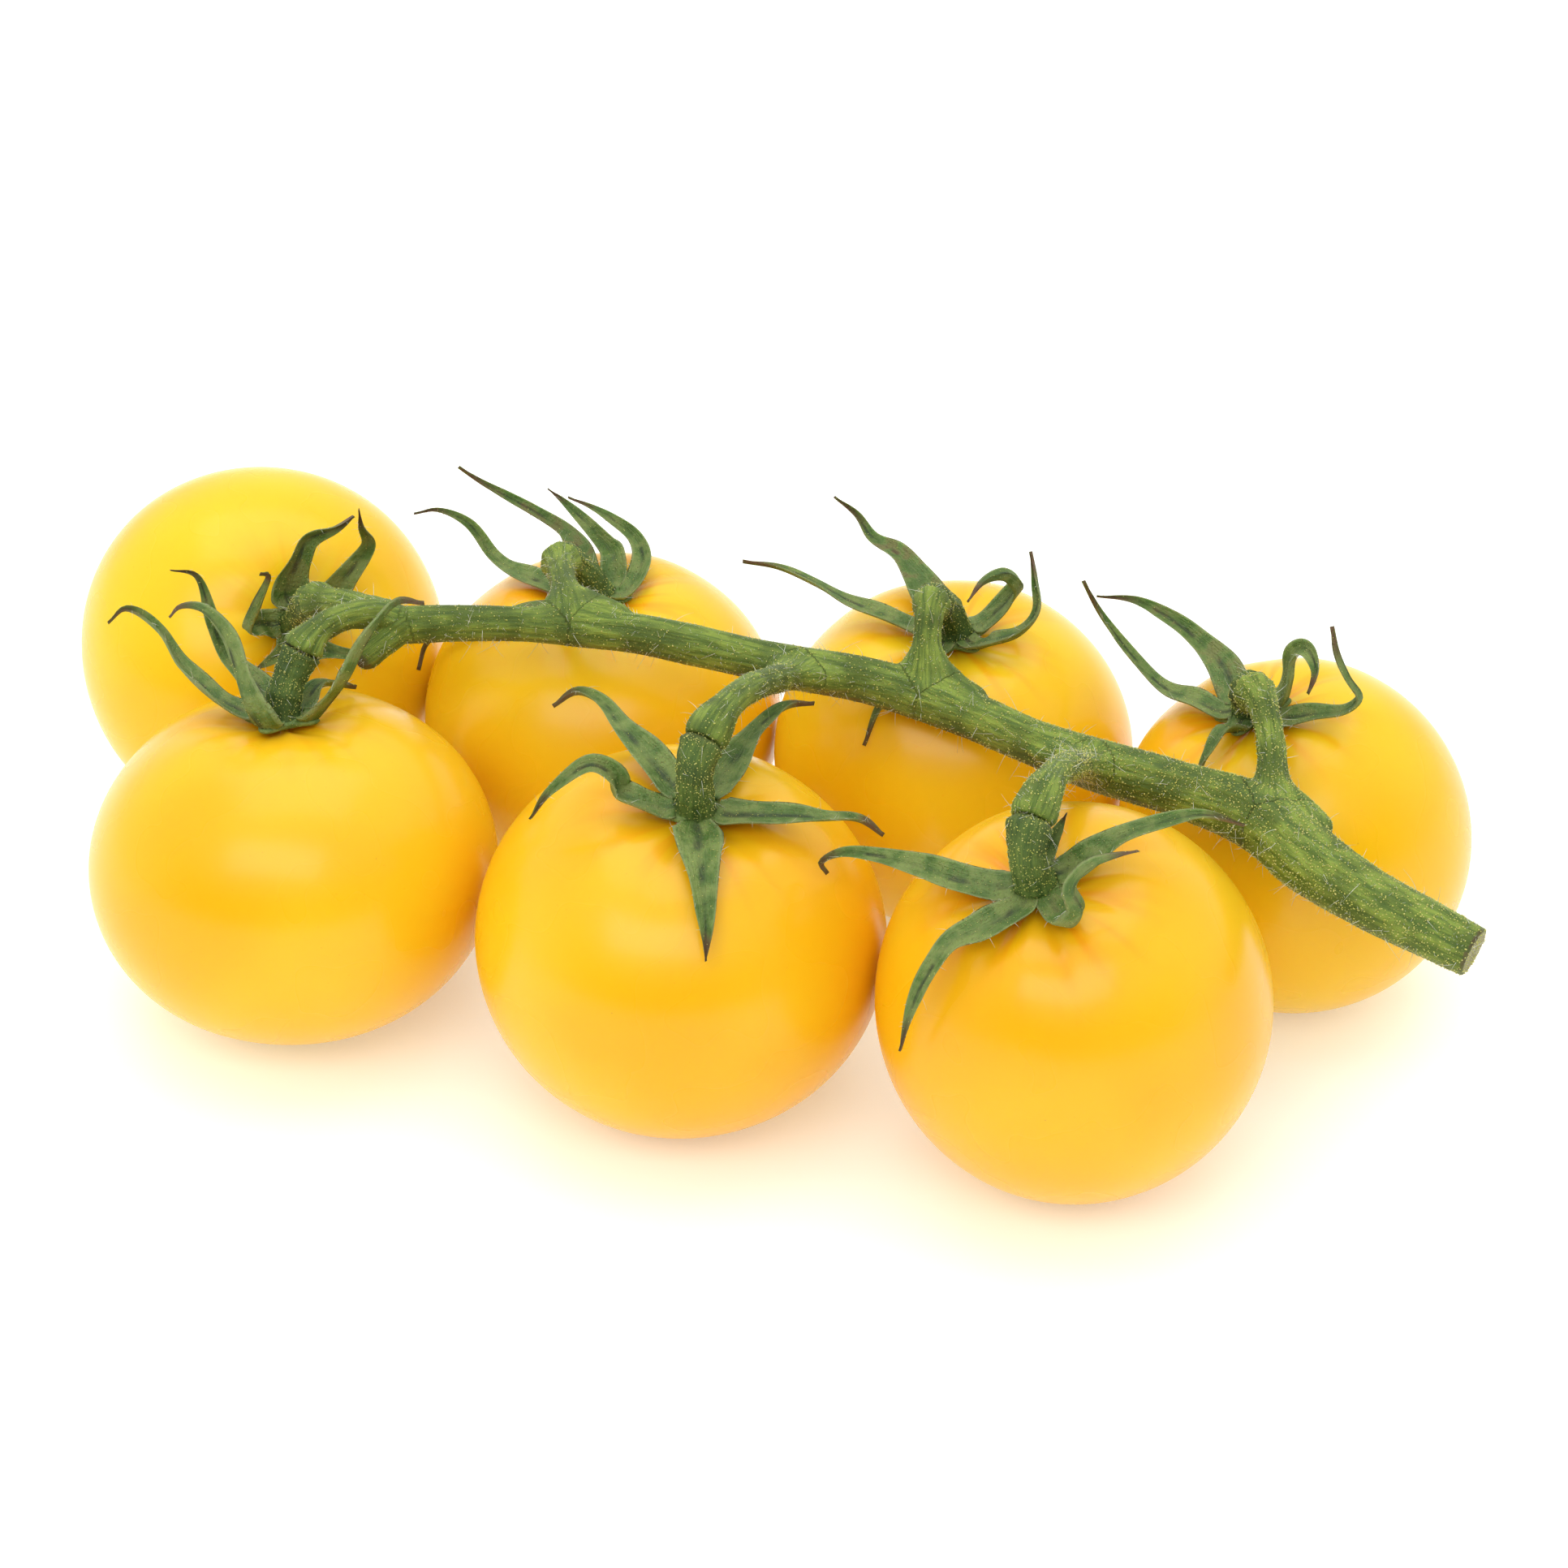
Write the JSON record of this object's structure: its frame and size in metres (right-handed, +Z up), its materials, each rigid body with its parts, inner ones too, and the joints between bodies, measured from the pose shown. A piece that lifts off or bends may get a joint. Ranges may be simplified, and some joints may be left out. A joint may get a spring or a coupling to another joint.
{
  "type": "cherry tomato truss",
  "caption": "Truss of ripe yellow cherry tomatoes on their cut green vine, with knuckled stalks and curling sepals, lying on a flat surface.",
  "frame": {"origin": "middle of the truss's outline, on the surface that the fruits rest on", "axes": "+X along the main stem from its branching end to its cut end, +Y away from the three front fruits, +Z up"},
  "size_m": [0.1176, 0.0848, 0.0369],
  "materials": {
    "tomato_skin": "smooth, waxy and slightly translucent, yellow to orange",
    "vine_bark": "matt green with dense pale glandular dots and sparse white hairs",
    "sepal_leaf": "matt green leaf with dark veins and dry brown tips"
  },
  "bodies": {
    "root": {"main_stem": "vine_bark", "tomato_front_left": "tomato_skin", "pedicel_front_left": "vine_bark", "sepal_front_left_1": "sepal_leaf", "sepal_front_left_2": "sepal_leaf", "sepal_front_left_3": "sepal_leaf", "sepal_front_left_4": "sepal_leaf", "sepal_front_left_5": "sepal_leaf", "tomato_front_middle": "tomato_skin", "pedicel_front_middle": "vine_bark", "sepal_front_middle_1": "sepal_leaf", "sepal_front_middle_2": "sepal_leaf", "sepal_front_middle_3": "sepal_leaf", "sepal_front_middle_4": "sepal_leaf", "sepal_front_middle_5": "sepal_leaf", "tomato_front_right": "tomato_skin", "pedicel_front_right": "vine_bark", "sepal_front_right_1": "sepal_leaf", "sepal_front_right_2": "sepal_leaf", "sepal_front_right_3": "sepal_leaf", "sepal_front_right_4": "sepal_leaf", "sepal_front_right_5": "sepal_leaf", "tomato_right_end": "tomato_skin", "pedicel_right_end": "vine_bark", "sepal_right_end_1": "sepal_leaf", "sepal_right_end_2": "sepal_leaf", "sepal_right_end_3": "sepal_leaf", "sepal_right_end_4": "sepal_leaf", "sepal_right_end_5": "sepal_leaf", "tomato_back_right": "tomato_skin", "pedicel_back_right": "vine_bark", "sepal_back_right_1": "sepal_leaf", "sepal_back_right_2": "sepal_leaf", "sepal_back_right_3": "sepal_leaf", "sepal_back_right_4": "sepal_leaf", "sepal_back_right_5": "sepal_leaf", "tomato_back_left": "tomato_skin", "pedicel_back_left": "vine_bark", "sepal_back_left_1": "sepal_leaf", "sepal_back_left_2": "sepal_leaf", "sepal_back_left_3": "sepal_leaf", "sepal_back_left_4": "sepal_leaf", "sepal_back_left_5": "sepal_leaf", "tomato_left_end": "tomato_skin", "pedicel_left_end": "vine_bark", "sepal_left_end_1": "sepal_leaf", "sepal_left_end_2": "sepal_leaf", "sepal_left_end_3": "sepal_leaf", "sepal_left_end_4": "sepal_leaf", "sepal_left_end_5": "sepal_leaf"}
  },
  "joints": []
}
